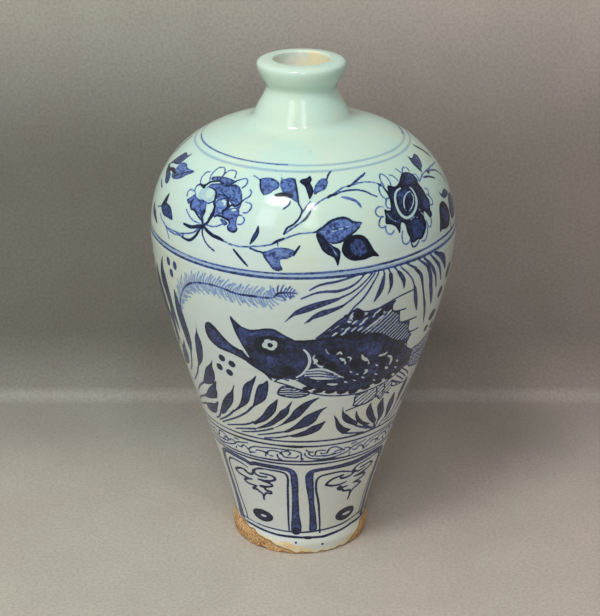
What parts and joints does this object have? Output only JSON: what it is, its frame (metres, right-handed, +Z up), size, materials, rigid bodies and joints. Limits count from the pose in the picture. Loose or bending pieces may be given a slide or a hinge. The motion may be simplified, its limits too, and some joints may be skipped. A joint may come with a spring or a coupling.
{
  "type": "plum vase",
  "caption": "Tall narrow-necked porcelain jar with a high round shoulder, rolled lip and tapering foot, built of luted thrown sections and painted under the glaze.",
  "frame": {"origin": "the middle of the foot's underside, on the surface that the vase stands on", "axes": "+Z up along the vase's axis; -Y is the side that the painting faces, +X to its right"},
  "size_m": [0.2168, 0.2168, 0.36],
  "materials": {
    "glaze": "clear glaze over cobalt painting",
    "plain_glaze": "clear glaze with a pale green tint",
    "slip": "matt fired slip",
    "bare_clay": "rough unglazed clay, burnt orange"
  },
  "bodies": {
    "root": {"foot_ring": "bare_clay", "slip_foot": "slip", "base_disc": "bare_clay", "slip_base": "slip", "lower_wall": "glaze", "slip_lower": "slip", "middle_wall": "glaze", "slip_belly": "slip", "shoulder": "glaze", "slip_neck": "slip", "neck": "plain_glaze", "mouth_rim": "plain_glaze"}
  },
  "joints": []
}
